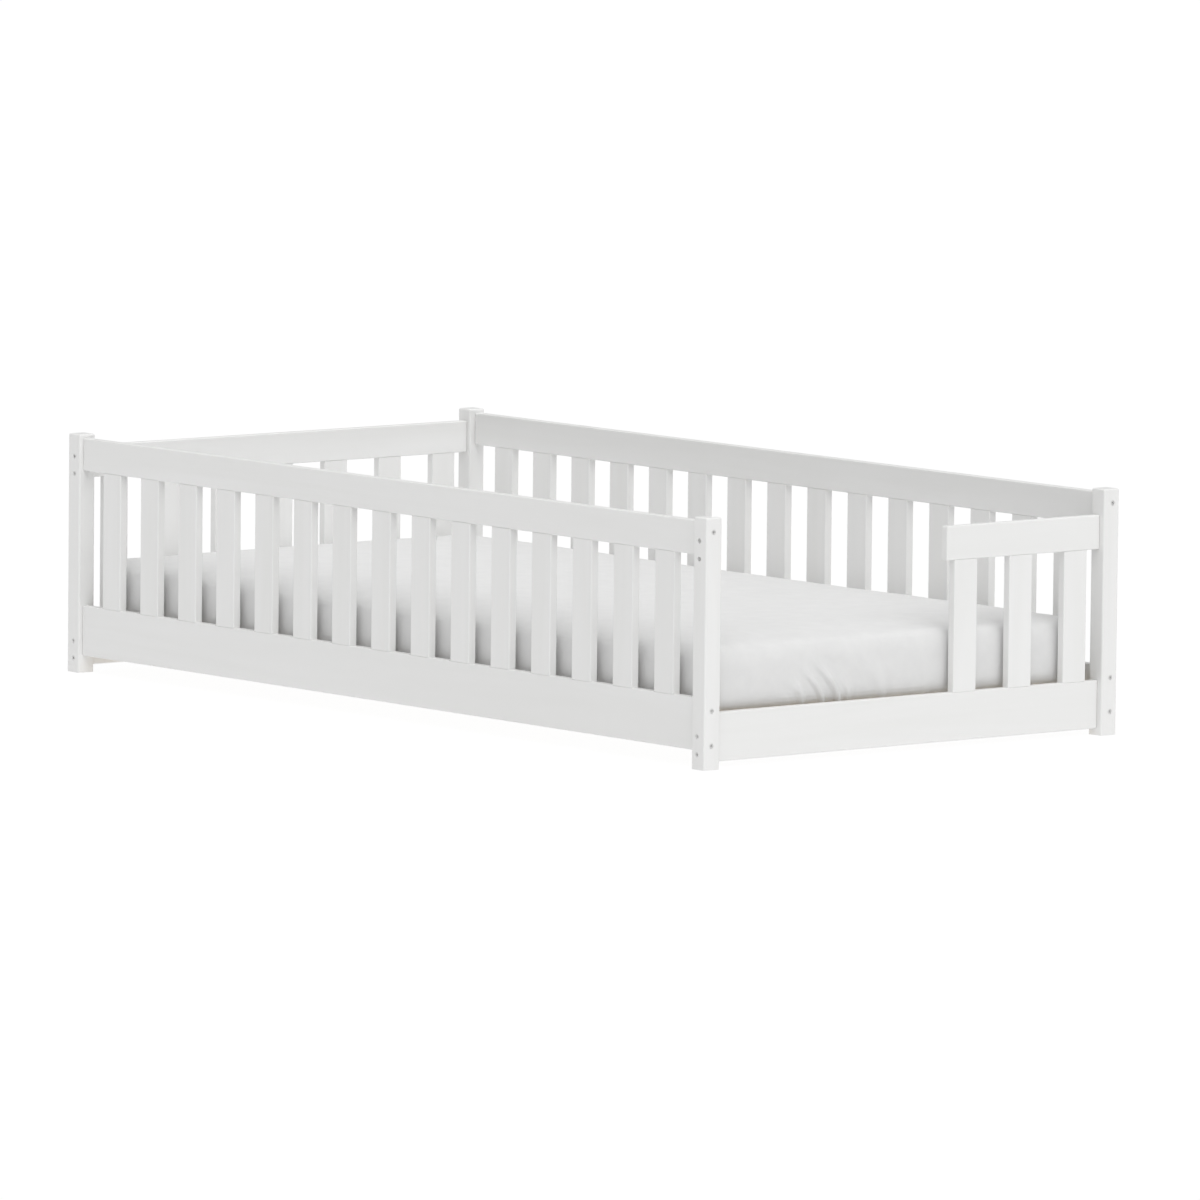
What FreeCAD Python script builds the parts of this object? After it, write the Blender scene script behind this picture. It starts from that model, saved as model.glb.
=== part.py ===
"""Low toddler bed with slatted guard sides, as a parametric FreeCAD document (millimetres).

Frame of the part: origin on the floor under the middle of the bed, +X towards the foot end,
+Y towards the right-hand long side seen from the foot, +Z up.  The foot end is open from the
left post to the short guard rail, so that a child can climb in.

Every board is drawn in its own frame with x along the board, +y towards the inside of the bed
and z up, and is then placed and turned about Z.
"""
import FreeCAD, Part
import os
import Sketcher

doc = FreeCAD.newDocument("ToddlerBed")

# ---------------------------------------------------------------- driving dimensions
DIMENSIONS = {
    # overall box
    "outer_length": 2090,
    "outer_width": 1080,
    "outer_height": 500,
    # square corner posts
    "post_side": 40,
    "post_edge_round": 4,
    "post_top_round": 4,
    # boards: rails of the long sides, the head end and the foot end
    "board_thickness": 18,
    "board_round": 3,
    "board_joint_round": 2,
    "side_inset": 9,
    "end_inset": 13,
    "side_lower_bottom": 36,
    "side_lower_height": 105,
    "side_upper_bottom": 424,
    "side_upper_height": 68,
    "end_lower_bottom": 14,
    "end_lower_height": 98,
    "head_upper_bottom": 408,
    "head_upper_height": 67,
    "guard_bottom": 378,
    "guard_height": 69,
    "guard_length": 405,
    # balusters and their stub tenons
    "baluster_width": 60,
    "baluster_thickness": 18,
    "baluster_round": 2,
    "side_baluster_count": 15,
    "end_baluster_count": 7,
    "foot_baluster_count": 3,
    "end_baluster_pitch": 145.5,
    "tenon_width": 36,
    "tenon_thickness": 10,
    "tenon_length": 10,
    "mortise_depth": 12,
    "mortise_play": 0.1,
    # connector bolts, the threaded inserts in the ends of the rails, and the dowels
    "bolt_diameter": 6,
    "bolt_bore": 6.6,
    "bolt_length": 58,
    "bolt_head_diameter": 10,
    "bolt_head_height": 5,
    "bolt_socket_flats": 5,
    "bolt_socket_depth": 3,
    "counterbore_diameter": 10.6,
    "counterbore_depth": 5.6,
    "insert_diameter": 10,
    "insert_bore": 10.2,
    "insert_length": 22,
    "insert_depth": 22.6,
    "insert_thread": 6.2,
    "insert_slot_width": 1.6,
    "insert_slot_depth": 2,
    "bolt_bore_depth": 30,
    "dowel_diameter": 8,
    "dowel_bore": 8.2,
    "dowel_length": 35,
    "dowel_bore_depth": 18,
    "dowel_chamfer": 1,
    # heights of the fastenings above the floor
    "side_bolt_bottom": 48,
    "side_bolt_middle": 117,
    "side_bolt_top": 471,
    "side_dowel_height": 441,
    "end_bolt_low": 30,
    "head_bolt_low": 417,
    "guard_bolt_low": 396,
    "bolt_pair_spacing": 36,
    # post beside the entrance: its upper part is relieved flush with the side rail
    "relief_bottom": 114,
    # slatted base: cleats screwed inside the lower side rails, loose slats on two straps
    "cleat_length": 1990,
    "cleat_height": 30,
    "cleat_width": 20,
    "cleat_bottom": 54,
    "slat_count": 15,
    "slat_width": 70,
    "slat_thickness": 16,
    "slat_end_play": 2,
    "slat_round": 3,
    "slat_field": 1996,
    "strap_width": 25,
    "strap_thickness": 1.5,
    "strap_offset": 330,
    # countersunk wood screws that hold the cleats
    "screw_count": 8,
    "screw_pitch": 260,
    "screw_diameter": 4,
    "screw_bore": 4.2,
    "screw_length": 32,
    "screw_head_diameter": 8,
    "screw_head_height": 2,
    "screw_tip": 4,
    "screw_socket_flats": 2.5,
    "screw_socket_depth": 1.2,
    "screw_pilot_depth": 13,
    # mattress
    "mattress_length": 2008,
    "mattress_width": 1006,
    "mattress_height": 140,
    "mattress_play": 0.3,
    "mattress_corner_round": 45,
    "mattress_top_round": 25,
    "mattress_bottom_round": 15,
}

sheet = doc.addObject("Spreadsheet::Sheet", "Sizes")
for row, (alias, value) in enumerate(DIMENSIONS.items(), start=1):
    sheet.set(f"A{row}", alias.replace("_", " "))
    sheet.set(f"B{row}", str(value))
    sheet.setAlias(f"B{row}", alias)
doc.recompute()


def size(alias):
    """Value of one cell of the sheet."""
    return float(sheet.get(alias))


def bound(expression):
    """Expression in which every alias is read from the sheet."""
    words = []
    for word in expression.replace("(", "( ").replace(")", " )").split():
        words.append(f"Sizes.{word}" if word in DIMENSIONS else word)
    return " ".join(words)


# Positions that several pieces share, as expressions of the sheet.
INNER_LENGTH = "(outer_length - 2 * post_side)"
INNER_WIDTH = "(outer_width - 2 * post_side)"
POST_X = "(outer_length / 2 - post_side / 2)"
POST_Y = "(outer_width / 2 - post_side / 2)"
SIDE_RAIL_Y = "(outer_width / 2 - side_inset - board_thickness / 2)"
END_RAIL_X = "(outer_length / 2 - end_inset - board_thickness / 2)"
SIDE_GAP = f"(({INNER_LENGTH} - side_baluster_count * baluster_width) / (side_baluster_count + 1))"
SIDE_PITCH = f"({SIDE_GAP} + baluster_width)"
SIDE_FIRST = f"(0 - {SIDE_PITCH} * (side_baluster_count - 1) / 2)"
END_FIRST = "(0 - end_baluster_pitch * (end_baluster_count - 1) / 2)"
FOOT_FIRST = "(end_baluster_pitch * ((end_baluster_count + 1) / 2 - foot_baluster_count))"
GUARD_Y = f"({INNER_WIDTH} / 2 - guard_length / 2)"
SLAT_TOP = "(cleat_bottom + cleat_height + slat_thickness)"
CLEAT_Y = f"({SIDE_RAIL_Y} - board_thickness / 2 - cleat_width / 2)"
SCREW_FIRST = "(0 - screw_pitch * (screw_count - 1) / 2)"


def place(thing, x="0", y="0", z="0", turn=0, axis=(0, 0, 1)):
    """Turn an object about an axis and bind its position to the sheet."""
    thing.Placement = FreeCAD.Placement(FreeCAD.Vector(), FreeCAD.Rotation(FreeCAD.Vector(*axis), turn))
    for letter, expression in zip("xyz", (x, y, z)):
        thing.setExpression(f"Placement.Base.{letter}", bound(expression))


def value_of(expression):
    """Number that an expression of the sheet works out to."""
    words = bound(expression).replace("Sizes.", "").split()
    numbers = [str(size(word)) if word in DIMENSIONS else word for word in words]
    probe = doc.addObject("App::FeaturePython", "Probe")
    probe.addProperty("App::PropertyFloat", "Value")
    probe.setExpression("Value", " ".join(numbers))
    probe.recompute()
    result = probe.Value
    doc.removeObject(probe.Name)
    return result


# ---------------------------------------------------------------- sketch and feature helpers
def new_body(name):
    body = doc.addObject("PartDesign::Body", name)
    body.Label = name
    return body


def new_sketch(body, name, role, offset="0"):
    """Sketch on one of the body's own origin planes, moved along the plane's normal."""
    plane = next(item for item in body.Origin.OriginFeatures if item.Role == role)
    sketch = body.newObject("Sketcher::SketchObject", name)
    sketch.AttachmentSupport = [(plane, "")]
    sketch.MapMode = "FlatFace"
    sketch.setExpression("AttachmentOffset.Base.z", bound(offset))
    return sketch


def bind(sketch, constraint, expression):
    """Add a constraint and bind its value to the sheet."""
    index = sketch.addConstraint(constraint)
    sketch.setExpression(f"Constraints[{index}]", bound(expression))


def rectangle(sketch, centre_x, centre_y, width, height):
    """Closed rectangle about a centre, with every size bound."""
    corners = [FreeCAD.Vector(*point) for point in ((0, 0), (1, 0), (1, 1), (0, 1))]
    lines = []
    for index, corner in enumerate(corners):
        lines.append(sketch.addGeometry(Part.LineSegment(corner, corners[(index + 1) % 4])))
    for index in range(4):
        after = lines[(index + 1) % 4]
        sketch.addConstraint(Sketcher.Constraint("Coincident", lines[index], 2, after, 1))
    for index, direction in enumerate(("Horizontal", "Vertical", "Horizontal", "Vertical")):
        sketch.addConstraint(Sketcher.Constraint(direction, lines[index]))
    bottom, right = lines[0], lines[1]
    bind(sketch, Sketcher.Constraint("DistanceX", bottom, 1, bottom, 2, 1), width)
    bind(sketch, Sketcher.Constraint("DistanceY", right, 1, right, 2, 1), height)
    bind(sketch, Sketcher.Constraint("DistanceX", -1, 1, bottom, 1, 1), f"{centre_x} - {width} / 2")
    bind(sketch, Sketcher.Constraint("DistanceY", -1, 1, bottom, 1, 1), f"{centre_y} - {height} / 2")


def circle(sketch, centre_x, centre_y, diameter):
    """Circle about a centre, with every size bound."""
    arc = sketch.addGeometry(Part.Circle(FreeCAD.Vector(1, 1, 0), FreeCAD.Vector(0, 0, 1), 1))
    bind(sketch, Sketcher.Constraint("Diameter", arc, 2), diameter)
    bind(sketch, Sketcher.Constraint("DistanceX", -1, 1, arc, 3, 1), centre_x)
    bind(sketch, Sketcher.Constraint("DistanceY", -1, 1, arc, 3, 1), centre_y)


def pad(body, sketch, name, length, middle=False):
    feature = body.newObject("PartDesign::Pad", name)
    feature.Profile = sketch
    feature.setExpression("Length", bound(length))
    feature.SideType = "Symmetric" if middle else "One side"
    doc.recompute()
    return feature


def pocket(body, sketch, name, depth, forwards=False):
    """Cut a sketch against its normal, or along it when forwards is set, and see that it cut."""
    before = body.Shape.Volume
    feature = body.newObject("PartDesign::Pocket", name)
    feature.Profile = sketch
    feature.Reversed = forwards
    feature.setExpression("Length", bound(depth))
    doc.recompute()
    if body.Shape.Volume > before - 1:
        raise RuntimeError(f"{body.Label}: {name} cuts nothing")
    return feature


def pattern(body, feature, sketch, name, span, count):
    """Repeat a feature along the sketch's horizontal axis."""
    before = body.Shape.Volume
    row_of = body.newObject("PartDesign::LinearPattern", name)
    row_of.Originals = [feature]
    row_of.Direction = (sketch, ["H_Axis"])
    row_of.setExpression("Length", bound(span))
    row_of.Occurrences = count
    body.Tip = row_of
    doc.recompute()
    if body.Shape.Volume > before - 1:
        raise RuntimeError(f"{body.Label}: {name} repeats nothing")
    return row_of


def fillet(body, name, radius, wanted):
    """Round the straight edges of the body's tip for which wanted(edge) is true."""
    base = body.Tip
    names = [f"Edge{i}" for i, edge in enumerate(base.Shape.Edges, start=1) if wanted(edge)]
    feature = body.newObject("PartDesign::Fillet", name)
    feature.Base = (base, names)
    feature.setExpression("Radius", bound(radius))
    body.Tip = feature
    doc.recompute()
    return feature


def runs_along(edge, letter):
    """True for a straight edge parallel to the given axis of the body."""
    if edge.Curve.TypeId != "Part::GeomLine":
        return False
    direction = edge.tangentAt(edge.FirstParameter)
    return abs(abs(getattr(direction, letter)) - 1) < 1e-6


# ---------------------------------------------------------------- posts
def bolt_hole(body, name, role, across, height, outer):
    """Clearance hole through a post, counterbored on its outer face.

    role is the origin plane that the hole crosses, across the hole's place on the post's width,
    and outer is +1 or -1, the side of the plane's normal on which the outer face lies.
    """
    face = f"{outer} * post_side / 2"
    for part_name, diameter, depth in (
        ("bore", "bolt_bore", "post_side"),
        ("seat", "counterbore_diameter", "counterbore_depth"),
    ):
        sketch = new_sketch(body, f"{name}_{part_name}_sketch", role, face)
        circle(sketch, across, height, diameter)
        pocket(body, sketch, f"{name}_{part_name}", depth, forwards=outer < 0)


def post(name, end, side, upper_pair, relieved=False):
    """Corner post at end (+1 foot, -1 head) and side (+1 right, -1 left)."""
    body = new_body(name)
    profile = new_sketch(body, f"{name}_profile", "XY_Plane")
    rectangle(profile, "0", "0", "post_side", "post_side")
    pad(body, profile, f"{name}_stock", "outer_height")
    if relieved:
        cut = new_sketch(body, f"{name}_relief_sketch", "XY_Plane", "outer_height")
        depth = "(post_side - side_inset - board_thickness)"
        rectangle(cut, "0", f"{-side} * (post_side / 2 - {depth} / 2)", "post_side + 2", depth)
        pocket(body, cut, f"{name}_relief", "outer_height - relief_bottom")
    fillet(body, f"{name}_edges", "post_edge_round", lambda edge: runs_along(edge, "z"))
    top = size("outer_height")
    fillet(body, f"{name}_crown", "post_top_round", lambda edge: edge.BoundBox.ZMin > top - 1e-6)

    # Bolts into the side rails cross the YZ plane, whose normal is +X.
    across_side = f"{side} * ({SIDE_RAIL_Y} - {POST_Y})"
    for label in ("bottom", "middle", "top"):
        bolt_hole(body, f"{name}_side_{label}", "YZ_Plane", across_side, f"side_bolt_{label}", end)
    peg = new_sketch(body, f"{name}_dowel_sketch", "YZ_Plane", f"{-end} * post_side / 2")
    circle(peg, across_side, "side_dowel_height", "dowel_bore")
    pocket(body, peg, f"{name}_dowel_hole", "dowel_bore_depth", forwards=end > 0)

    # Bolts into the end rails cross the XZ plane, whose normal is -Y.
    across_end = f"{end} * ({END_RAIL_X} - {POST_X})"
    for label, low in (("low", "end_bolt_low"), ("high", upper_pair)):
        for step in (0, 1):
            height = f"{low} + {step} * bolt_pair_spacing"
            bolt_hole(body, f"{name}_end_{label}{step}", "XZ_Plane", across_end, height, -side)
    place(body, f"{end} * {POST_X}", f"{side} * {POST_Y}")
    return body


# ---------------------------------------------------------------- rails
def board(name, length, height, joint_face, mortises, heights, ends=(1, -1), dowel=None, bottom="0"):
    """Rail in its own frame, with mortises for balusters and bores for its fastenings.

    joint_face is +1 when the balusters enter the top face and -1 when they enter the bottom face.
    mortises is (first place along the board, pitch, count).  heights are the heights of the bolts
    and dowel that of the dowel above the floor, and bottom is the height of the board's underside.
    """
    body = new_body(name)
    profile = new_sketch(body, f"{name}_profile", "XZ_Plane")
    rectangle(profile, "0", "0", length, height)
    pad(body, profile, f"{name}_stock", "board_thickness", middle=True)

    joint_level = value_of(f"{joint_face} * {height} / 2")
    fillet(body, f"{name}_edges", "board_round",
           lambda edge: runs_along(edge, "z") or abs(edge.CenterOfMass.z + joint_level) < 1e-3)
    fillet(body, f"{name}_joint_edges", "board_joint_round",
           lambda edge: edge.BoundBox.ZLength < 1e-3 and abs(edge.CenterOfMass.z - joint_level) < 1e-3)

    first, pitch, count = mortises
    sockets = new_sketch(body, f"{name}_mortise_sketch", "XY_Plane", f"{joint_face} * {height} / 2")
    width = "(tenon_width + 2 * mortise_play)"
    thickness = "(tenon_thickness + 2 * mortise_play)"
    rectangle(sockets, first, "0", width, thickness)
    mortise = pocket(body, sockets, f"{name}_mortise", "mortise_depth", forwards=joint_face < 0)
    pattern(body, mortise, sockets, f"{name}_mortises", f"{pitch} * {count - 1}", count)

    middle = f"({bottom} + {height} / 2)"
    for end in ends:
        tag = "foot" if end > 0 else "head"
        for part_name, diameter, depth in (
            ("bores", "bolt_bore", "bolt_bore_depth"),
            ("seats", "insert_bore", "insert_depth"),
        ):
            holes = new_sketch(body, f"{name}_{tag}_{part_name}_sketch", "YZ_Plane", f"{end} * {length} / 2")
            for bolt_height in heights:
                circle(holes, "0", f"{bolt_height} - {middle}", diameter)
            pocket(body, holes, f"{name}_{tag}_{part_name}", depth, forwards=end < 0)
        if dowel:
            peg = new_sketch(body, f"{name}_{tag}_dowel_sketch", "YZ_Plane", f"{end} * {length} / 2")
            circle(peg, "0", f"{dowel} - {middle}", "dowel_bore")
            pocket(body, peg, f"{name}_{tag}_dowel_hole", "dowel_bore_depth", forwards=end < 0)
    return body


def pilot_holes(body, rail_middle):
    """Row of pilot holes for the cleat's screws in the inner face of a lower side rail."""
    sketch = new_sketch(body, f"{body.Name}_pilot_sketch", "XZ_Plane", "0 - board_thickness / 2")
    circle(sketch, SCREW_FIRST, f"cleat_bottom + cleat_height / 2 - {rail_middle}", "screw_bore")
    hole = pocket(body, sketch, f"{body.Name}_pilot", "screw_pilot_depth", forwards=True)
    count = int(size("screw_count"))
    pattern(body, hole, sketch, f"{body.Name}_pilots", f"screw_pitch * {count - 1}", count)


# ---------------------------------------------------------------- balusters
def baluster(name, height, x, y, z, turn):
    """Flat upright with rounded arrises and a stub tenon at each end; z is its middle."""
    body = new_body(name)
    profile = new_sketch(body, f"{name}_profile", "XY_Plane")
    rectangle(profile, "0", "0", "baluster_width", "baluster_thickness")
    pad(body, profile, f"{name}_stock", height, middle=True)
    fillet(body, f"{name}_arrises", "baluster_round", lambda edge: runs_along(edge, "z"))
    core = new_sketch(body, f"{name}_tenon_sketch", "XY_Plane")
    rectangle(core, "0", "0", "tenon_width", "tenon_thickness")
    pad(body, core, f"{name}_tenons", f"{height} + 2 * tenon_length", middle=True)
    place(body, x, y, z, turn)
    return body


# ---------------------------------------------------------------- primitives and groups
def primitive(kind, name, **sizes):
    """Part primitive whose properties are bound to the sheet."""
    thing = doc.addObject(f"Part::{kind}", name)
    for key, expression in sizes.items():
        thing.setExpression(key, bound(expression))
    return thing


def combine(kind, name, base, tool):
    thing = doc.addObject(f"Part::{kind}", name)
    thing.Base = base
    thing.Tool = tool
    doc.recompute()
    return thing


def group(name, copies):
    """Node of several separate solids: links to a pattern piece, each placed on its own.

    copies is a list of (piece, x, y, z, rotation).
    """
    links = []
    for index, (piece, x, y, z, rotation) in enumerate(copies, start=1):
        link = doc.addObject("App::Link", f"{name}_{index}")
        link.LinkedObject = piece
        link.LinkTransform = False
        link.Placement = FreeCAD.Placement(FreeCAD.Vector(), rotation)
        for letter, expression in zip("xyz", (x, y, z)):
            link.setExpression(f"Placement.Base.{letter}", bound(expression))
        links.append(link)
    node = doc.addObject("Part::Compound", name)
    node.Label = name
    node.Links = links
    doc.recompute()
    return node


def turned(axis, angle):
    return FreeCAD.Rotation(FreeCAD.Vector(*axis), angle)


def facing(direction):
    """Rotation that turns +Z to the given direction."""
    return FreeCAD.Rotation(FreeCAD.Vector(0, 0, 1), FreeCAD.Vector(*direction))


def bolt_pattern_piece():
    """Connector bolt along -Z from the outer face of its head at z = 0."""
    head = primitive("Cylinder", "BoltHead", Radius="bolt_head_diameter / 2", Height="bolt_head_height")
    place(head, z="0 - bolt_head_height")
    shank = primitive("Cylinder", "BoltShank", Radius="bolt_diameter / 2", Height="bolt_length")
    place(shank, z="0 - bolt_head_height - bolt_length")
    socket = primitive("Prism", "BoltSocket", Circumradius="bolt_socket_flats / 2 / cos( 30 deg )",
                       Height="bolt_socket_depth")
    socket.Polygon = 6
    place(socket, z="0 - bolt_socket_depth")
    return combine("Cut", "Bolt", combine("Fuse", "BoltBlank", head, shank), socket)


def insert_pattern_piece():
    """Threaded insert along -Z from its mouth at z = 0, with a driver slot across the mouth."""
    sleeve = primitive("Cylinder", "InsertSleeve", Radius="insert_diameter / 2", Height="insert_length")
    place(sleeve, z="0 - insert_length")
    thread = primitive("Cylinder", "InsertThread", Radius="insert_thread / 2", Height="2 * insert_length")
    place(thread, z="0 - 1.5 * insert_length")
    slot = primitive("Box", "InsertSlot", Length="2 * insert_diameter", Width="insert_slot_width",
                     Height="2 * insert_slot_depth")
    place(slot, "0 - insert_diameter", "0 - insert_slot_width / 2", "0 - insert_slot_depth")
    return combine("Cut", "Insert", combine("Cut", "InsertBlank", sleeve, thread), slot)


def dowel_pattern_piece():
    """Chamfered dowel along Z about the origin."""
    rod = primitive("Cylinder", "DowelRod", Radius="dowel_diameter / 2", Height="dowel_length")
    place(rod, z="0 - dowel_length / 2")
    doc.recompute()
    rims = [i for i, edge in enumerate(rod.Shape.Edges, start=1) if edge.Curve.TypeId == "Part::GeomCircle"]
    peg = doc.addObject("Part::Chamfer", "Dowel")
    peg.Base = rod
    peg.Edges = [(rim, size("dowel_chamfer"), size("dowel_chamfer")) for rim in rims]
    doc.recompute()
    return peg


def screw_pattern_piece():
    """Countersunk wood screw along -Z from the top of its head at z = 0."""
    head = primitive("Cone", "ScrewHead", Radius1="screw_diameter / 2", Radius2="screw_head_diameter / 2",
                     Height="screw_head_height")
    place(head, z="0 - screw_head_height")
    shank = primitive("Cylinder", "ScrewShank", Radius="screw_diameter / 2",
                      Height="screw_length - screw_tip")
    place(shank, z="screw_tip - screw_length")
    tip = primitive("Cone", "ScrewTip", Radius1="screw_diameter / 8", Radius2="screw_diameter / 2",
                    Height="screw_tip")
    place(tip, z="0 - screw_length")
    socket = primitive("Prism", "ScrewSocket", Circumradius="screw_socket_flats / 2 / cos( 30 deg )",
                       Height="2 * screw_socket_depth")
    socket.Polygon = 6
    place(socket, z="0 - screw_socket_depth")
    blank = combine("Fuse", "ScrewBlank", combine("Fuse", "ScrewBody", shank, tip), head)
    return combine("Cut", "Screw", blank, socket)


def slat_pattern_piece():
    """One slat across the bed, its underside at z = 0."""
    body = new_body("SlatPattern")
    profile = new_sketch(body, "SlatProfile", "XY_Plane")
    length = f"(2 * {SIDE_RAIL_Y} - board_thickness - 2 * slat_end_play)"
    rectangle(profile, "0", "0", "slat_width", length)
    pad(body, profile, "SlatStock", "slat_thickness")
    fillet(body, "SlatEdges", "slat_round", lambda edge: runs_along(edge, "y"))
    return body


def cleat_pattern_piece():
    """Cleat along X about the origin, +y towards the inside, with countersunk screw holes."""
    body = new_body("CleatPattern")
    profile = new_sketch(body, "CleatProfile", "XZ_Plane")
    rectangle(profile, "0", "0", "cleat_length", "cleat_height")
    pad(body, profile, "CleatStock", "cleat_width", middle=True)
    fillet(body, "CleatEdges", "board_joint_round",
           lambda edge: runs_along(edge, "x") and edge.CenterOfMass.y > 0)
    count = int(size("screw_count"))
    for label, diameter, depth in (
        ("Bore", "screw_bore", "cleat_width"),
        ("Seat", "screw_head_diameter + 0.4", "screw_head_height + 0.2"),
    ):
        sketch = new_sketch(body, f"Cleat{label}Sketch", "XZ_Plane", "0 - cleat_width / 2")
        circle(sketch, SCREW_FIRST, "0", diameter)
        hole = pocket(body, sketch, f"Cleat{label}", depth, forwards=True)
        pattern(body, hole, sketch, f"Cleat{label}Row", f"screw_pitch * {count - 1}", count)
    return body


# ---------------------------------------------------------------- assembly
nodes = []


def keep(thing):
    nodes.append(thing)
    return thing


def make_posts():
    keep(post("post_head_left", -1, -1, "head_bolt_low"))
    keep(post("post_head_right", -1, 1, "head_bolt_low"))
    keep(post("post_foot_left", 1, -1, "head_bolt_low", relieved=True))
    keep(post("post_foot_right", 1, 1, "guard_bolt_low"))


def make_side_rails():
    """Lower and upper rail of both long sides."""
    row = (SIDE_FIRST, SIDE_PITCH, int(size("side_baluster_count")))
    lower_middle = "(side_lower_bottom + side_lower_height / 2)"
    upper_middle = "(side_upper_bottom + side_upper_height / 2)"
    for side, side_name, turn in ((-1, "left", 0), (1, "right", 180)):
        lower = board(f"side_rail_lower_{side_name}", INNER_LENGTH, "side_lower_height", 1, row,
                      ("side_bolt_bottom", "side_bolt_middle"), bottom="side_lower_bottom")
        pilot_holes(lower, lower_middle)
        place(lower, y=f"{side} * {SIDE_RAIL_Y}", z=lower_middle, turn=turn)
        upper = board(f"side_rail_upper_{side_name}", INNER_LENGTH, "side_upper_height", -1, row,
                      ("side_bolt_top",), dowel="side_dowel_height", bottom="side_upper_bottom")
        place(upper, y=f"{side} * {SIDE_RAIL_Y}", z=upper_middle, turn=turn)
        keep(lower)
        keep(upper)


def make_end_rails():
    """Head rails, the foot rail and the short guard rail at the foot."""
    low_pair = ("end_bolt_low", "end_bolt_low + bolt_pair_spacing")
    head_pair = ("head_bolt_low", "head_bolt_low + bolt_pair_spacing")
    guard_pair = ("guard_bolt_low", "guard_bolt_low + bolt_pair_spacing")
    head_row = (END_FIRST, "end_baluster_pitch", int(size("end_baluster_count")))
    foot_count = int(size("foot_baluster_count"))
    foot_row = (FOOT_FIRST, "end_baluster_pitch", foot_count)
    guard_row = (f"({FOOT_FIRST} - {GUARD_Y})", "end_baluster_pitch", foot_count)
    end_lower_middle = "(end_lower_bottom + end_lower_height / 2)"

    head_lower = board("head_rail_lower", INNER_WIDTH, "end_lower_height", 1, head_row,
                       low_pair, bottom="end_lower_bottom")
    place(head_lower, f"0 - {END_RAIL_X}", "0", end_lower_middle, -90)
    head_upper = board("head_rail_upper", INNER_WIDTH, "head_upper_height", -1, head_row,
                       head_pair, bottom="head_upper_bottom")
    place(head_upper, f"0 - {END_RAIL_X}", "0", "head_upper_bottom + head_upper_height / 2", -90)
    foot_lower = board("foot_rail_lower", INNER_WIDTH, "end_lower_height", 1, foot_row,
                       low_pair, bottom="end_lower_bottom")
    place(foot_lower, END_RAIL_X, "0", end_lower_middle, 90)
    guard = board("guard_rail", "guard_length", "guard_height", -1, guard_row,
                  guard_pair, ends=(1,), bottom="guard_bottom")
    place(guard, END_RAIL_X, GUARD_Y, "guard_bottom + guard_height / 2", 90)
    for rail in (head_lower, head_upper, foot_lower, guard):
        keep(rail)


def make_balusters():
    side_foot = "(side_lower_bottom + side_lower_height)"
    end_foot = "(end_lower_bottom + end_lower_height)"
    side_height = f"(side_upper_bottom - {side_foot})"
    head_height = f"(head_upper_bottom - {end_foot})"
    guard_height = f"(guard_bottom - {end_foot})"
    for side, side_name in ((-1, "left"), (1, "right")):
        for index in range(int(size("side_baluster_count"))):
            keep(baluster(f"baluster_{side_name}_{index + 1:02d}", side_height,
                          f"{SIDE_FIRST} + {index} * {SIDE_PITCH}", f"{side} * {SIDE_RAIL_Y}",
                          f"{side_foot} + {side_height} / 2", 0))
    for index in range(int(size("end_baluster_count"))):
        keep(baluster(f"baluster_head_{index + 1}", head_height, f"0 - {END_RAIL_X}",
                      f"{END_FIRST} + {index} * end_baluster_pitch",
                      f"{end_foot} + {head_height} / 2", 90))
    for index in range(int(size("foot_baluster_count"))):
        keep(baluster(f"baluster_foot_{index + 1}", guard_height, END_RAIL_X,
                      f"{FOOT_FIRST} + {index} * end_baluster_pitch",
                      f"{end_foot} + {guard_height} / 2", 90))


def make_fastenings():
    """Bolts and threaded inserts of every rail end, and the dowels of the upper side rails."""
    bolt, insert, peg = bolt_pattern_piece(), insert_pattern_piece(), dowel_pattern_piece()
    bolts, inserts, pegs = [], [], []
    seat = "(counterbore_depth - bolt_head_height)"
    head_x = f"(outer_length / 2 - {seat})"
    head_y = f"(outer_width / 2 - {seat})"
    mouth = "(insert_depth - insert_length) / 2"
    mouth_x = f"({INNER_LENGTH} / 2 - {mouth})"
    mouth_y = f"({INNER_WIDTH} / 2 - {mouth})"
    for end in (-1, 1):
        for side in (-1, 1):
            y = f"{side} * {SIDE_RAIL_Y}"
            for height in ("side_bolt_bottom", "side_bolt_middle", "side_bolt_top"):
                bolts.append((bolt, f"{end} * {head_x}", y, height, facing((end, 0, 0))))
                inserts.append((insert, f"{end} * {mouth_x}", y, height, facing((end, 0, 0))))
            pegs.append((peg, f"{end} * {INNER_LENGTH} / 2", y, "side_dowel_height", facing((1, 0, 0))))
            # the upper pair of holes of the left foot post stays free
            lows = ["end_bolt_low"]
            if end < 0:
                lows.append("head_bolt_low")
            elif side > 0:
                lows.append("guard_bolt_low")
            for low in lows:
                for step in (0, 1):
                    height = f"{low} + {step} * bolt_pair_spacing"
                    x = f"{end} * {END_RAIL_X}"
                    bolts.append((bolt, x, f"{side} * {head_y}", height, facing((0, side, 0))))
                    inserts.append((insert, x, f"{side} * {mouth_y}", height, facing((0, side, 0))))
    keep(group("connector_bolts", bolts))
    keep(group("threaded_inserts", inserts))
    keep(group("dowels", pegs))


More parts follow.
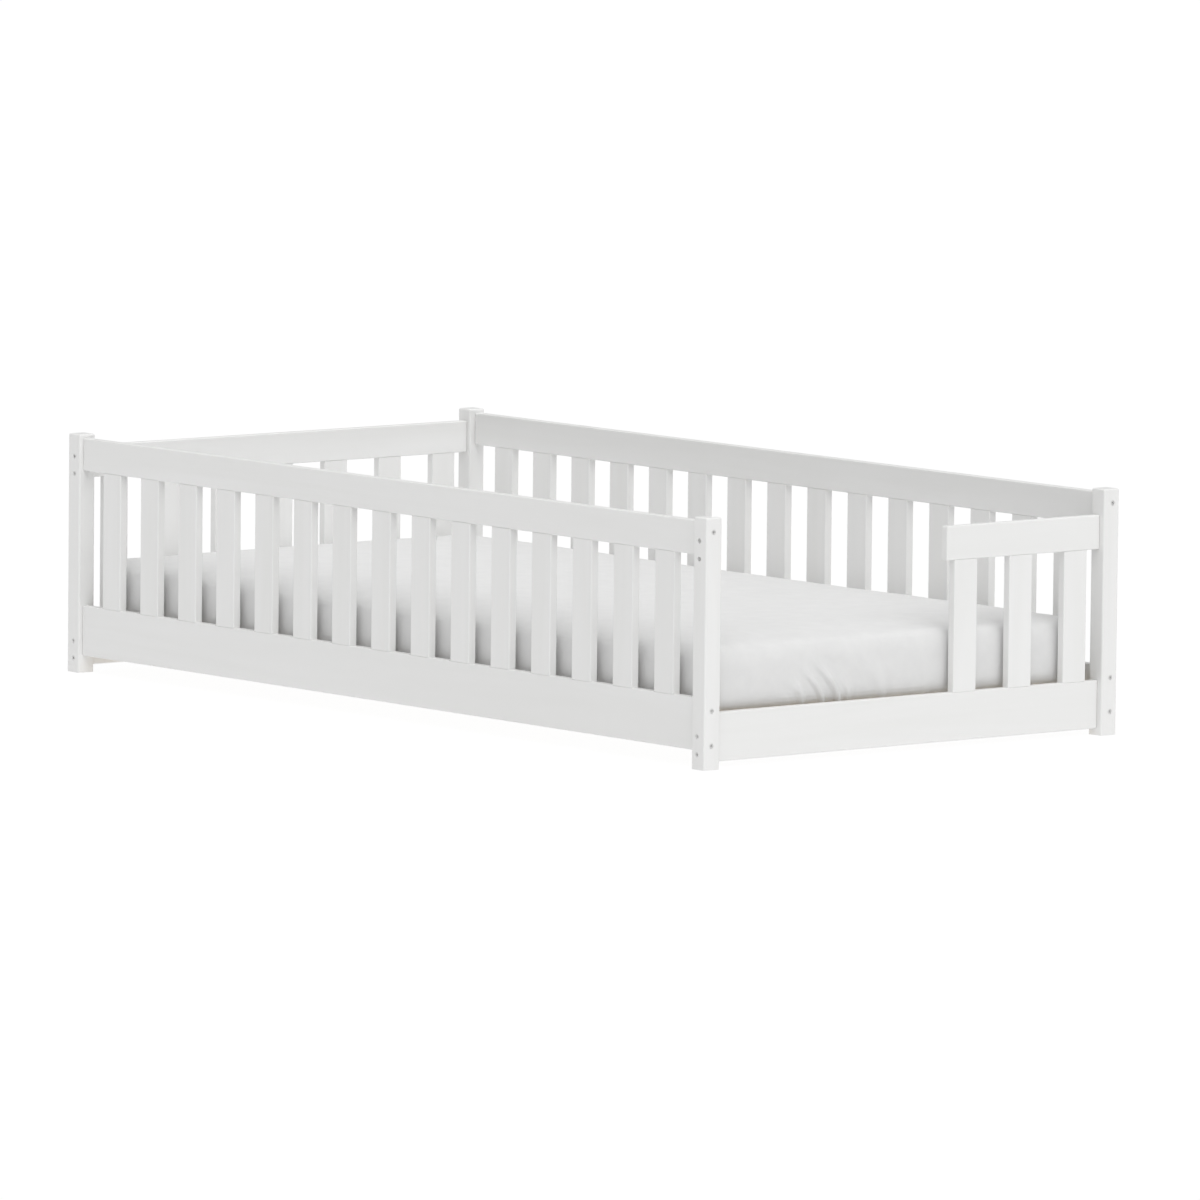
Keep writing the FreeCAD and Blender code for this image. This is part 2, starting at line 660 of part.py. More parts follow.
def make_slatted_base():
    """Cleats with their screws, the slats and the two straps that space them."""
    cleat, screw, slat = cleat_pattern_piece(), screw_pattern_piece(), slat_pattern_piece()
    cleat_z = "(cleat_bottom + cleat_height / 2)"
    cleats, screws = [], []
    for side, turn in ((-1, 0), (1, 180)):
        cleats.append((cleat, "0", f"{side} * {CLEAT_Y}", cleat_z, turned((0, 0, 1), turn)))
        for index in range(int(size("screw_count"))):
            x = f"{SCREW_FIRST} + {index} * screw_pitch"
            y = f"{side} * ({CLEAT_Y} - cleat_width / 2 + 0.1)"
            screws.append((screw, x, y, cleat_z, facing((0, -side, 0))))
    keep(group("slat_cleats", cleats))
    keep(group("cleat_screws", screws))

    count = int(size("slat_count"))
    slat_pitch = f"((slat_field - slat_width) / {count - 1})"
    slat_first = "(slat_width / 2 - slat_field / 2)"
    level = "(cleat_bottom + cleat_height)"
    upright = FreeCAD.Rotation()
    slats = [(slat, f"{slat_first} + {index} * {slat_pitch}", "0", level, upright) for index in range(count)]
    keep(group("slats", slats))

    strap = primitive("Box", "StrapPattern", Length="slat_field", Width="strap_width",
                      Height="strap_thickness")
    straps = []
    for side in (-1, 1):
        straps.append((strap, "0 - slat_field / 2", f"{side} * strap_offset - strap_width / 2",
                       f"{level} - strap_thickness", upright))
    keep(group("slat_straps", straps))


def make_mattress():
    """Foam mattress as a plain rounded block, just clear of the slats."""
    body = new_body("mattress")
    profile = new_sketch(body, "mattress_profile", "XY_Plane")
    rectangle(profile, "0", "0", "mattress_length", "mattress_width")
    pad(body, profile, "mattress_block", "mattress_height")
    fillet(body, "mattress_corners", "mattress_corner_round", lambda edge: runs_along(edge, "z"))
    top = size("mattress_height")
    fillet(body, "mattress_top", "mattress_top_round", lambda edge: edge.BoundBox.ZMin > top - 1e-6)
    fillet(body, "mattress_bottom", "mattress_bottom_round", lambda edge: edge.BoundBox.ZMax < 1e-6)
    place(body, z=f"{SLAT_TOP} + mattress_play")
    keep(body)


def check_document():
    """Stop on any failed object, and on any node whose shape is not valid."""
    doc.recompute()
    for thing in doc.Objects:
        if "Invalid" in thing.State or "Error" in thing.State:
            raise RuntimeError(f"{thing.Name} failed: {thing.State}")
    for node in nodes:
        if node.Shape.isNull() or not node.Shape.isValid() or not node.Shape.Solids:
            raise RuntimeError(f"{node.Label} has no valid solid")


def write_steps():
    os.makedirs("parts", exist_ok=True)
    for node in nodes:
        node.Shape.exportStep(f"parts/{node.Label}.step")


make_posts()
make_side_rails()
make_end_rails()
make_balusters()
make_fastenings()
make_slatted_base()
make_mattress()
check_document()
write_steps()
print(len(nodes), "nodes,", sum(len(node.Shape.Solids) for node in nodes), "solids")
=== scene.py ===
"""Looks of the low toddler bed: lacquered frame, slatted base, padded mattress and its fitted sheet."""
import math

import bmesh
import bpy
import numpy as np
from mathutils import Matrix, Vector, noise


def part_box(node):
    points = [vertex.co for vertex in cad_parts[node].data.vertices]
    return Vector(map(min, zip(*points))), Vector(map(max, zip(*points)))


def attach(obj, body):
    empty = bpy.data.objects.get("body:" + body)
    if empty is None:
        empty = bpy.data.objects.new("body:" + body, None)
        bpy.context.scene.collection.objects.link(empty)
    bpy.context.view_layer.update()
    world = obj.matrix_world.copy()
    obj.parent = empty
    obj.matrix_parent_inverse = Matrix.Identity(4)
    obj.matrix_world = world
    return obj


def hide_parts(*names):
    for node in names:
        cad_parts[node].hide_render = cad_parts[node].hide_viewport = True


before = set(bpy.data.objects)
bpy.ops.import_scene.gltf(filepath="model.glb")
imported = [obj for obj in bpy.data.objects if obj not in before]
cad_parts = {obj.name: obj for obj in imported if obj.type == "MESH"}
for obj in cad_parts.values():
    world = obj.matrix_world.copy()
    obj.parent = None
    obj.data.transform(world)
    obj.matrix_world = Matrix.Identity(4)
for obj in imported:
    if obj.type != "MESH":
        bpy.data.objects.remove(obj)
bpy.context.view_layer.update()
scene = bpy.context.scene

MATTRESS_BODY = "mattress"


# ---------------------------------------------------------------- node helpers
class Shader:
    """A material with short ways to add and link nodes."""

    def __init__(self, name):
        self.material = bpy.data.materials.new(name)
        self.material.use_nodes = True
        self.tree = self.material.node_tree
        self.surface = self.tree.nodes["Principled BSDF"]

    def node(self, kind, **settings):
        made = self.tree.nodes.new(f"ShaderNode{kind}")
        for key, value in settings.items():
            setattr(made, key, value)
        return made

    def link(self, source, target):
        self.tree.links.new(source, target)

    def set(self, **values):
        for key, value in values.items():
            self.surface.inputs[key.replace("_", " ")].default_value = value

    def coordinates(self, scale, offset=(0, 0, 0)):
        """Object coordinates, stretched by scale on each axis."""
        source = self.node("TexCoord")
        mapping = self.node("Mapping")
        mapping.inputs["Scale"].default_value = scale
        mapping.inputs["Location"].default_value = offset
        self.link(source.outputs["Object"], mapping.inputs["Vector"])
        return mapping.outputs["Vector"]

    def noise(self, vector, scale, detail=4.0, roughness=0.5, distortion=0.0):
        made = self.node("TexNoise")
        made.inputs["Scale"].default_value = scale
        made.inputs["Detail"].default_value = detail
        made.inputs["Roughness"].default_value = roughness
        made.inputs["Distortion"].default_value = distortion
        self.link(vector, made.inputs["Vector"])
        return made.outputs["Fac"]

    def ramp(self, factor, stops):
        made = self.node("ValToRGB")
        elements = made.color_ramp.elements
        while len(elements) < len(stops):
            elements.new(0.5)
        for element, (position, colour) in zip(elements, stops):
            element.position = position
            element.color = (*colour, 1.0)
        self.link(factor, made.inputs["Fac"])
        return made.outputs["Color"]

    def span(self, factor, low, high, start=0.0, end=1.0):
        made = self.node("MapRange")
        for key, value in (("From Min", start), ("From Max", end), ("To Min", low), ("To Max", high)):
            made.inputs[key].default_value = value
        self.link(factor, made.inputs["Value"])
        return made.outputs["Result"]

    def math(self, operation, first, second):
        made = self.node("Math", operation=operation)
        for index, value in enumerate((first, second)):
            if isinstance(value, (int, float)):
                made.inputs[index].default_value = value
            else:
                self.link(value, made.inputs[index])
        return made.outputs["Value"]

    def bump(self, height, distance, strength=1.0):
        made = self.node("Bump")
        made.inputs["Distance"].default_value = distance
        made.inputs["Strength"].default_value = strength
        self.link(height, made.inputs["Height"])
        self.link(made.outputs["Normal"], self.surface.inputs["Normal"])


# ---------------------------------------------------------------- materials
ALONG = {"x": (0.06, 1.0, 1.0), "y": (1.0, 0.06, 1.0), "z": (1.0, 1.0, 0.06)}


def lacquered_wood(direction):
    """White satin lacquer over pine: the grain telegraphs through as a shallow relief."""
    shader = Shader(f"white_lacquer_{direction}")
    vector = shader.coordinates(ALONG[direction])
    grain = shader.noise(vector, scale=95.0, detail=5.0, roughness=0.6, distortion=0.4)
    broad = shader.noise(vector, scale=14.0, detail=3.0, roughness=0.5, distortion=1.2)
    colour = shader.ramp(broad, [(0.3, (0.80, 0.80, 0.79)), (0.7, (0.83, 0.83, 0.825))])
    shader.link(colour, shader.surface.inputs["Base Color"])
    shader.link(shader.span(grain, low=0.36, high=0.48), shader.surface.inputs["Roughness"])
    spray = shader.noise(shader.coordinates((1, 1, 1)), scale=420.0, detail=2.0)
    relief = shader.math("ADD", grain, shader.math("MULTIPLY", spray, 0.25))
    shader.bump(relief, distance=0.00018, strength=0.55)
    shader.set(Specular_IOR_Level=0.45, Coat_Weight=0.12, Coat_Roughness=0.3)
    return shader.material


def raw_wood(name, direction, light=(0.80, 0.70, 0.55), dark=(0.66, 0.53, 0.37)):
    """Planed bare wood with growth rings; the usual tones are those of pale pine."""
    shader = Shader(name)
    vector = shader.coordinates(ALONG[direction])
    rings = shader.node("TexWave", wave_type="RINGS", rings_direction=direction.upper())
    rings.inputs["Scale"].default_value = 9.0
    rings.inputs["Distortion"].default_value = 6.0
    rings.inputs["Detail"].default_value = 3.0
    rings.inputs["Detail Scale"].default_value = 1.6
    shader.link(vector, rings.inputs["Vector"])
    fibre = shader.noise(vector, scale=160.0, detail=4.0, roughness=0.65)
    mixed = shader.math("ADD", shader.math("MULTIPLY", rings.outputs["Fac"], 0.6),
                        shader.math("MULTIPLY", fibre, 0.4))
    middle = tuple(0.5 * (a + b) for a, b in zip(light, dark))
    colour = shader.ramp(mixed, [(0.2, light), (0.55, middle), (0.9, dark)])
    shader.link(colour, shader.surface.inputs["Base Color"])
    shader.link(shader.span(fibre, low=0.5, high=0.68), shader.surface.inputs["Roughness"])
    shader.bump(mixed, distance=0.0004, strength=0.5)
    shader.set(Specular_IOR_Level=0.3)
    return shader.material


def plated_steel():
    """Zinc-plated steel with a faint brushed mottle."""
    shader = Shader("zinc_steel")
    vector = shader.coordinates((1, 1, 1))
    mottle = shader.noise(vector, scale=350.0, detail=4.0, roughness=0.6)
    colour = shader.ramp(mottle, [(0.3, (0.74, 0.74, 0.74)), (0.7, (0.82, 0.82, 0.81))])
    shader.link(colour, shader.surface.inputs["Base Color"])
    shader.link(shader.span(mottle, low=0.3, high=0.5), shader.surface.inputs["Roughness"])
    shader.bump(mottle, distance=0.0001, strength=0.3)
    shader.set(Metallic=1.0)
    return shader.material


def woven(name, light, dark, threads_per_metre, relief, sheen):
    """Plain weave: two sets of threads crossing over and under, in object coordinates."""
    shader = Shader(name)
    vector = shader.coordinates((1, 1, 1))
    wobble = shader.noise(vector, scale=60.0, detail=3.0)
    split = shader.node("SeparateXYZ")
    shader.link(vector, split.inputs["Vector"])
    turn = threads_per_metre * math.pi
    waves = []
    for axis in ("X", "Y", "Z"):
        phase = shader.math("MULTIPLY", split.outputs[axis], turn)
        phase = shader.math("ADD", phase, shader.math("MULTIPLY", wobble, 1.5))
        waves.append(shader.math("SINE", phase, 0.0))
    weave = shader.math("MULTIPLY", waves[0], waves[1])
    weave = shader.math("ADD", weave, shader.math("MULTIPLY", waves[2], waves[0]))
    weave = shader.math("ADD", weave, shader.math("MULTIPLY", waves[1], waves[2]))
    slub = shader.noise(vector, scale=25.0, detail=4.0, roughness=0.6)
    colour = shader.ramp(slub, [(0.3, dark), (0.7, light)])
    shader.link(colour, shader.surface.inputs["Base Color"])
    roughness = shader.span(weave, low=0.78, high=0.92, start=-1.5, end=1.5)
    shader.link(roughness, shader.surface.inputs["Roughness"])
    shader.bump(weave, distance=relief, strength=0.35)
    shader.set(Specular_IOR_Level=0.15, Sheen_Weight=sheen, Sheen_Roughness=0.5)
    return shader.material


def paint(obj, material):
    obj.data.materials.clear()
    obj.data.materials.append(material)


lacquer = {direction: lacquered_wood(direction) for direction in "xyz"}
steel = plated_steel()
slat_pine = raw_wood("slat_pine", "y")
cleat_pine = raw_wood("cleat_pine", "x")
dowel_beech = raw_wood("dowel_beech", "x", light=(0.74, 0.55, 0.38), dark=(0.62, 0.42, 0.27))
webbing = woven("strap_webbing", light=(0.80, 0.78, 0.73), dark=(0.70, 0.68, 0.63),
                threads_per_metre=900.0, relief=0.0006, sheen=0.1)
cotton = woven("sheet_cotton", light=(0.765, 0.765, 0.762), dark=(0.735, 0.735, 0.733),
               threads_per_metre=1500.0, relief=0.00025, sheen=0.02)
ticking = woven("mattress_ticking", light=(0.78, 0.77, 0.75), dark=(0.70, 0.69, 0.67),
                threads_per_metre=700.0, relief=0.0005, sheen=0.1)


def grain_direction(node):
    """Boards carry their grain along their length, so along the longest side of their box."""
    low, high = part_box(node)
    extent = high - low
    return "xyz"[max(range(3), key=lambda axis: extent[axis])]


def paint_frame():
    special = {
        "slats": slat_pine, "slat_cleats": cleat_pine, "dowels": dowel_beech, "slat_straps": webbing,
        "connector_bolts": steel, "threaded_inserts": steel, "cleat_screws": steel,
    }
    for name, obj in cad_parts.items():
        if name == "mattress":
            continue
        paint(obj, special.get(name) or lacquer[grain_direction(name)])


# ---------------------------------------------------------------- mattress and sheet
# Lengths are in metres. The foam block starts inside its CAD solid, with room left to swell
# and for the sheet.
VOXEL = 0.019
START_INSET = Vector((0.004, 0.008, 0.0))
START_SINK = 0.006
BOTTOM_CLEAR = 0.0022
CORNER_ROUND = 0.042
TOP_SHARE = 0.36
BOTTOM_SHARE = 0.22
UNDERSIDE_BAND = 0.002

# Swelling of the block: the simulation, and the soft limits that its travel is held to.
SWELL_PRESSURE = 4.0
SWELL_STEPS = 20
CROWN_RISE = 0.010
CROWN_WIDTH = 0.16
EDGE_RISE = 0.0015
EDGE_SINK = 0.0025
SIDE_BULGE = 0.003
SIDE_DRAW = 0.0015
SIDE_BAND = 0.03

# The sheet: its distance from the block, its hem beneath, and the foot rail that it lies against.
SHEET_THICKNESS = 0.0006
SHEET_GAP = 0.0016
LEAST_GAP = 0.0007
UNDER_GAP = 0.0010
UNDER_DROP = 0.0018
HEM_UNDER = 0.10
HEM_WAVE = 0.006
HEM_WAVE_RATE = 70
RAIL_TOP = 0.112
RAIL_REACH = 0.135
RAIL_FACE = 1.0125
RAIL_GIVE = 0.0040

# Small waves of the sheet as height, scale and seed; those near the edges run upright.
BROAD_WAVE = (0.0005, 9.0, 1)
EDGE_WAVE = (0.0007, 22.0, 2)
EDGE_WAVE_STRETCH = np.array((1.0, 1.0, 0.35))
EDGE_BAND = 0.05
ABOVE_HEM = 0.004

# Seam of each corner dart.
SEAM_HEIGHT = 0.0006
SEAM_WIDTH = 0.004
SEAM_REACH = 0.03

# Region of the foot face that is meshed finely for the folds.
FOLD_FROM = -0.31
FOLD_TO = 0.07
FOLD_DEPTH = 0.03
FOLD_PASSES = 2
END_BAND = 0.06


def block_mesh(name, low, high, cells, corner, top_share, bottom_share):
    """Closed box of even quads, with its own rounding on upright corners, top edges and bottom edges."""
    made = bmesh.new()
    bmesh.ops.create_cube(made, size=1.0)
    mesh = bpy.data.meshes.new(name)
    made.to_mesh(mesh)
    made.free()
    obj = bpy.data.objects.new(name, mesh)
    scene.collection.objects.link(obj)
    centre = (low + high) / 2
    extent = high - low
    for vertex in mesh.vertices:
        vertex.co = centre + Vector(vertex.co[i] * extent[i] for i in range(3))
    weights = mesh.attributes.new("bevel_weight_edge", "FLOAT", "EDGE")
    for edge in mesh.edges:
        heights = [mesh.vertices[index].co.z for index in edge.vertices]
        upright = abs(heights[0] - heights[1]) > 1e-6
        flat_share = top_share if heights[0] > centre.z else bottom_share
        weights.data[edge.index].value = 1.0 if upright else flat_share
    bevel = obj.modifiers.new("round", "BEVEL")
    bevel.limit_method = "WEIGHT"
    bevel.width = corner
    bevel.segments = 6
    remesh = obj.modifiers.new("voxels", "REMESH")
    remesh.mode = "VOXEL"
    remesh.voxel_size = cells
    apply_modifiers(obj)
    return obj


def apply_modifiers(obj):
    """Bake the modifiers of an object into its mesh."""
    graph = bpy.context.evaluated_depsgraph_get()
    mesh = bpy.data.meshes.new_from_object(obj.evaluated_get(graph))
    obj.modifiers.clear()
    old = obj.data
    obj.data = mesh
    bpy.data.meshes.remove(old)


def points_of(obj):
    flat = np.empty(len(obj.data.vertices) * 3)
    obj.data.vertices.foreach_get("co", flat)
    return flat.reshape(-1, 3)


def set_points(obj, points):
    obj.data.vertices.foreach_set("co", np.ascontiguousarray(points, float).ravel())
    obj.data.update()


def smooth_shade(obj):
    obj.data.polygons.foreach_set("use_smooth", [True] * len(obj.data.polygons))
    obj.data.update()


def subdivide(obj, levels=1):
    rounder = obj.modifiers.new("smooth", "SUBSURF")
    rounder.levels = rounder.render_levels = levels
    apply_modifiers(obj)


def soft_limit(move, forward, backward):
    """Movement held softly to its own limit in either sense."""
    return np.where(move > 0, forward * np.tanh(move / forward), backward * np.tanh(move / backward))


def ease(share):
    share = np.clip(share, 0, 1)
    return share * share * (3 - 2 * share)


def inflate(obj, start, floor):
    """Where the points end when the block is blown up from inside as cloth, its underside pinned."""
    bottom = obj.vertex_groups.new(name="bottom")
    bottom.add([int(i) for i in np.nonzero(start[:, 2] < floor + UNDERSIDE_BAND)[0]], 1.0, "REPLACE")
    cloth = obj.modifiers.new("swell", "CLOTH")
    settings = cloth.settings
    settings.quality = 4
    settings.mass = 0.3
    settings.tension_stiffness = settings.compression_stiffness = 12
    settings.shear_stiffness = 6
    settings.bending_stiffness = 2.0
    settings.use_pressure = True
    settings.uniform_pressure_force = SWELL_PRESSURE
    settings.effector_weights.gravity = 0.0
    settings.vertex_group_mass = "bottom"
    cloth.collision_settings.use_collision = False
    cloth.collision_settings.use_self_collision = False
    for step in range(1, SWELL_STEPS + 1):
        scene.frame_set(step)
    graph = bpy.context.evaluated_depsgraph_get()
    ended = bpy.data.meshes.new_from_object(obj.evaluated_get(graph))
    flat = np.empty(len(ended.vertices) * 3)
    ended.vertices.foreach_get("co", flat)
    bpy.data.meshes.remove(ended)
    obj.modifiers.clear()
    obj.vertex_groups.clear()
    scene.frame_set(1)
    return flat.reshape(-1, 3)


def swell(obj):
    """Blow the block up, then hold each point to soft limits of travel.

    The top may rise more towards its middle than at its edge, and the sides, which the rising top
    draws in, are filled out again at half height as the foam does.
    """
    start = points_of(obj)
    floor, top = start[:, 2].min(), start[:, 2].max()
    reach = np.abs(start[:, :2]).max(axis=0)
    moved = inflate(obj, start, floor)
    travel = moved - start
    inset = (reach - np.abs(start[:, :2])).min(axis=1)
    rise = EDGE_RISE + (CROWN_RISE - EDGE_RISE) * ease(inset / CROWN_WIDTH)
    result = start.copy()
    result[:, 2] += soft_limit(travel[:, 2], rise, EDGE_SINK)
    height = (start[:, 2] - floor) / (top - floor)
    fullness = 1 - (2 * height - 1) ** 2
    for axis in (0, 1):
        side = np.sign(start[:, axis])
        outwards = soft_limit(travel[:, axis] * side, SIDE_BULGE, SIDE_DRAW)
        near = ease(1 - (reach[axis] - np.abs(start[:, axis])) / SIDE_BAND)
        result[:, axis] += side * (outwards + SIDE_BULGE * fullness * near)
    result[:, 2] = np.maximum(result[:, 2], floor)
    set_points(obj, result)


def make_pad(low, high):
    """The mattress: a foam block in its ticking cover, flat beneath and crowned above."""
    low = low + START_INSET + Vector((0, 0, BOTTOM_CLEAR))
    high = high - START_INSET - Vector((0, 0, START_SINK))
    pad = block_mesh("mattress_pad", low, high, VOXEL, CORNER_ROUND, TOP_SHARE, BOTTOM_SHARE)
    swell(pad)
    subdivide(pad)
    smooth_shade(pad)
    paint(pad, ticking)
    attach(pad, MATTRESS_BODY)
    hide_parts("mattress")
    return pad


# Pull folds of the sheet on the foot face, from their upper to their lower end:
# y and z of the upper end, y and z of the lower end, half width, height of the ridge.
FOLDS = (
    (-0.218, 0.186, -0.150, 0.104, 0.0080, 0.0096),
    (-0.250, 0.176, -0.192, 0.104, 0.0075, 0.0070),
    (-0.282, 0.160, -0.246, 0.104, 0.0090, 0.0042),
    (-0.158, 0.156, -0.128, 0.104, 0.0070, 0.0030),
    (-0.092, 0.196, -0.038, 0.108, 0.0110, 0.0026),
    (-0.180, 0.222, -0.120, 0.176, 0.0130, 0.0016),
    (0.040, 0.190, 0.074, 0.108, 0.0130, 0.0016),
)


# Shape of a fold: how far it bows aside, its spread at the lower end and what that gains towards
# the upper end, the depth of the valleys beside the ridge and their distance from it in spreads.
FOLD_BOW = 0.006
FOLD_SPREAD = (0.75, 0.5)
VALLEY_DEPTH = 0.45
VALLEY_DISTANCE = 2.1


def fold_height(y, z):
    """Height of the ridges and of the shallow valleys beside them, over the foot face of the mattress."""
    height = np.zeros_like(y)
    for y_top, z_top, y_bottom, z_bottom, width, ridge in FOLDS:
        along = np.array((y_bottom - y_top, z_bottom - z_top))
        length = np.hypot(*along)
        along = along / length
        travel = (y - y_top) * along[0] + (z - z_top) * along[1]
        share = travel / length
        bow = FOLD_BOW * np.sin(np.pi * np.clip(share, 0, 1))
        aside = (y - y_top) * along[1] - (z - z_top) * along[0] + bow
        spread = width * (FOLD_SPREAD[0] + FOLD_SPREAD[1] * np.clip(1 - share, 0, 1))
        fade_in = np.clip((share + 0.25) / 0.7, 0, 1) ** 1.5
        fade_out = np.clip((1.35 - share) / 0.3, 0, 1)
        crest = np.exp(-(aside / spread) ** 2)
        valleys = np.exp(-((np.abs(aside) - VALLEY_DISTANCE * spread) / spread) ** 2)
        height += ridge * fade_in * fade_out * (crest - VALLEY_DEPTH * valleys)
    return height


def soft_noise(points, scale, seed):
    """Smooth noise at each point; the seed shifts it."""
    shift = Vector((seed * 3.7, seed * 1.9, seed * 5.3))
    return np.array([noise.noise(Vector(p) * scale + shift) for p in points])


def refine(obj, inside):
    """Cut the faces whose middles lie inside the region into finer ones."""
    made = bmesh.new()
    made.from_mesh(obj.data)
    edges = {edge for face in made.faces if inside(face.calc_center_median()) for edge in face.edges}
    bmesh.ops.subdivide_edges(made, edges=list(edges), cuts=1, use_grid_fill=True, smooth=0.0)
    made.to_mesh(obj.data)
    made.free()


def cut_hem(mesh, floor, reach):
    """Open the underside inside the hem, whose edge waves a little."""
    made = bmesh.new()
    made.from_mesh(mesh)
    dropped = []
    for face in made.faces:
        middle = face.calc_center_median()
        if middle.z < floor + UNDERSIDE_BAND:
            inner = min(reach[0] - abs(middle.x), reach[1] - abs(middle.y))
            wave = (HEM_WAVE * math.sin(middle.x * HEM_WAVE_RATE)
                    + HEM_WAVE * math.sin(middle.y * HEM_WAVE_RATE))
            if inner > HEM_UNDER + wave:
                dropped.append(face)
    bmesh.ops.delete(made, geom=dropped, context="FACES")
    made.to_mesh(mesh)
    made.free()


def sheet_gap(points, normals, floor, reach):
    """Distance of the sheet from the mattress: small waves, pull folds and the seams of the darts."""
    inset = reach - np.abs(points[:, :2])
    gap = np.full(len(points), SHEET_GAP)
    above = points[:, 2] > floor + ABOVE_HEM
    near_edge = np.clip(np.exp(-(inset / EDGE_BAND) ** 2).sum(axis=1), 0, 1)[above]
    height, scale, seed = BROAD_WAVE
    gap[above] += height * soft_noise(points[above], scale, seed)
    height, scale, seed = EDGE_WAVE
    gap[above] += height * soft_noise(points[above] * EDGE_WAVE_STRETCH, scale, seed) * near_edge
    end = points[:, 0] > reach[0] - END_BAND
    facing_end = np.clip(normals[:, 0] * 1.6 - 0.25, 0, 1)
    gap[end] += (fold_height(points[:, 1], points[:, 2]) * facing_end)[end]
    from_diagonal = np.abs(inset[:, 0] - inset[:, 1])
    near_corner = np.clip(1 - inset.max(axis=1) / SEAM_REACH, 0, 1)
    gap += SEAM_HEIGHT * np.exp(-(from_diagonal / SEAM_WIDTH) ** 2) * np.clip(near_corner * 3, 0, 1)
    gap = np.maximum(gap, LEAST_GAP)
    gap[points[:, 2] < floor + UNDERSIDE_BAND] = UNDER_GAP
    return gap


def press_to_rail(points):
    """Hold the lower end of the foot face back, where it lies against the foot rail."""
    low = (points[:, 2] < RAIL_REACH) & (points[:, 0] > 0)
    over_rail = np.clip((points[low, 2] - RAIL_TOP) / (RAIL_REACH - RAIL_TOP), 0, 1)
    points[low, 0] = np.minimum(points[low, 0], RAIL_FACE + RAIL_GIVE * over_rail)


def make_sheet(pad):
    """Fitted sheet: top, four sides and a hem drawn in under the mattress by its elastic."""
    base = pad.data.copy()
    sheet = bpy.data.objects.new("fitted_sheet", base)
    scene.collection.objects.link(sheet)
    points = points_of(sheet)
    floor = points[:, 2].min()
    reach = np.abs(points[:, :2]).max(axis=0)
    cut_hem(base, floor, reach)

    def in_folds(p):
        at_foot = p.x > reach[0] - FOLD_DEPTH and FOLD_FROM < p.y < FOLD_TO
        return at_foot and p.z > floor + UNDERSIDE_BAND / 2

    for _ in range(FOLD_PASSES):
        refine(sheet, in_folds)
    points = points_of(sheet)
    normals = np.empty(len(points) * 3)
    sheet.data.vertices.foreach_get("normal", normals)
    normals = normals.reshape(-1, 3)
    points = points + normals * sheet_gap(points, normals, floor, reach)[:, None]
    press_to_rail(points)
    points[:, 2] = np.maximum(points[:, 2], floor - UNDER_DROP)
    set_points(sheet, points)
    solid = sheet.modifiers.new("cloth", "SOLIDIFY")
    solid.thickness = SHEET_THICKNESS
    solid.offset = 0.0
    apply_modifiers(sheet)
    smooth_shade(sheet)
    paint(sheet, cotton)
    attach(sheet, MATTRESS_BODY)
    return sheet


def make_mattress():
    pad = make_pad(*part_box("mattress"))
    make_sheet(pad)


# ---------------------------------------------------------------- camera, light and stage
CAMERA_AZIMUTH = 50.8
CAMERA_ELEVATION = 6.17
CAMERA_ROLL = 0.6
CAMERA_DISTANCE = 26.75
CAMERA_FOCAL = 390.75
CAMERA_AIM = 0.034
CAMERA_HEIGHT = 0.2119


def place_camera():
    azimuth, elevation = math.radians(CAMERA_AZIMUTH), math.radians(CAMERA_ELEVATION)
    back = Vector((math.sin(azimuth) * math.cos(elevation), -math.cos(azimuth) * math.cos(elevation),
                   math.sin(elevation)))
    right = Vector((math.cos(azimuth), math.sin(azimuth), 0.0))
    data = bpy.data.cameras.new("camera")
    camera = bpy.data.objects.new("camera", data)
    scene.collection.objects.link(camera)
    camera.location = right * CAMERA_AIM + Vector((0, 0, CAMERA_HEIGHT)) + back * CAMERA_DISTANCE
    camera.rotation_euler = (-back).to_track_quat("-Z", "Y").to_euler()
    camera.rotation_euler.rotate_axis("Z", math.radians(CAMERA_ROLL))
    data.sensor_width = 36.0
    data.lens = CAMERA_FOCAL
    data.clip_end = 200.0
    scene.camera = camera


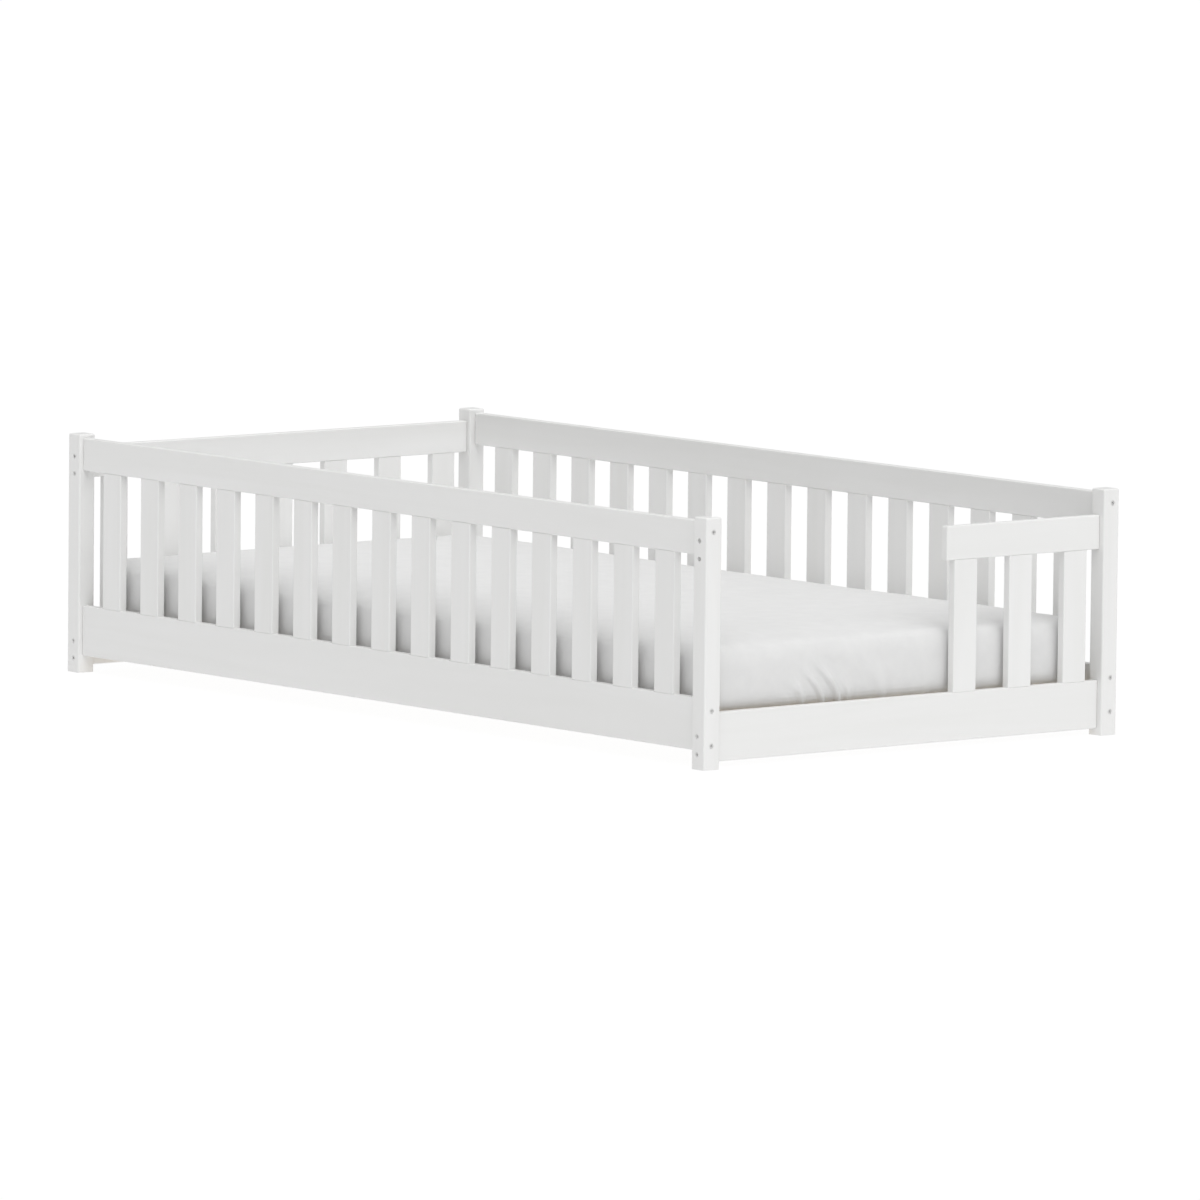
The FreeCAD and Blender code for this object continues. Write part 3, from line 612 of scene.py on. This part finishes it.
HORIZON_STRENGTH = 0.0
HORIZON_HEIGHT = 0.10
ZENITH_STRENGTH = 0.84
ZENITH_HEIGHT = 0.50
KEY_STRENGTH = 1.35
KEY_DIRECTION = (0.60, -0.20, 0.76)
KEY_SOFTNESS = 60.0
FLOOR_SHADE = 0.05
FLOOR_GLOW = 0.96
FLOOR_HALF_SIZE = 60.0


def light_sky():
    """Overhead glow that fades at the horizon."""
    world = bpy.data.worlds.new("studio")
    scene.world = world
    world.use_nodes = True
    tree = world.node_tree
    surround = tree.nodes["Background"]
    surround.inputs["Color"].default_value = (1.0, 1.0, 1.0, 1.0)
    direction = tree.nodes.new("ShaderNodeTexCoord")
    split = tree.nodes.new("ShaderNodeSeparateXYZ")
    height = tree.nodes.new("ShaderNodeMapRange")
    for key, value in (("From Min", HORIZON_HEIGHT), ("From Max", ZENITH_HEIGHT),
                       ("To Min", HORIZON_STRENGTH), ("To Max", ZENITH_STRENGTH)):
        height.inputs[key].default_value = value
    tree.links.new(direction.outputs["Generated"], split.inputs["Vector"])
    tree.links.new(split.outputs["Z"], height.inputs["Value"])
    tree.links.new(height.outputs["Result"], surround.inputs["Strength"])


def light_key():
    """One soft key light."""
    data = bpy.data.lights.new("key", "SUN")
    data.energy = KEY_STRENGTH
    data.angle = math.radians(KEY_SOFTNESS)
    key = bpy.data.objects.new("key", data)
    scene.collection.objects.link(key)
    key.rotation_euler = Vector(KEY_DIRECTION).to_track_quat("Z", "Y").to_euler()


def lay_floor():
    """White floor that glows, so that next to no shadow shows on it."""
    made = bmesh.new()
    bmesh.ops.create_grid(made, x_segments=1, y_segments=1, size=FLOOR_HALF_SIZE)
    mesh = bpy.data.meshes.new("floor")
    made.to_mesh(mesh)
    made.free()
    floor = bpy.data.objects.new("floor", mesh)
    scene.collection.objects.link(floor)
    shader = Shader("floor_white")
    shader.set(Base_Color=(FLOOR_SHADE, FLOOR_SHADE, FLOOR_SHADE, 1.0),
               Roughness=0.9, Specular_IOR_Level=0.0,
               Emission_Color=(1.0, 1.0, 1.0, 1.0), Emission_Strength=FLOOR_GLOW)
    floor.data.materials.append(shader.material)


paint_frame()
make_mattress()
light_sky()
light_key()
lay_floor()
place_camera()
scene.view_settings.view_transform = "Standard"
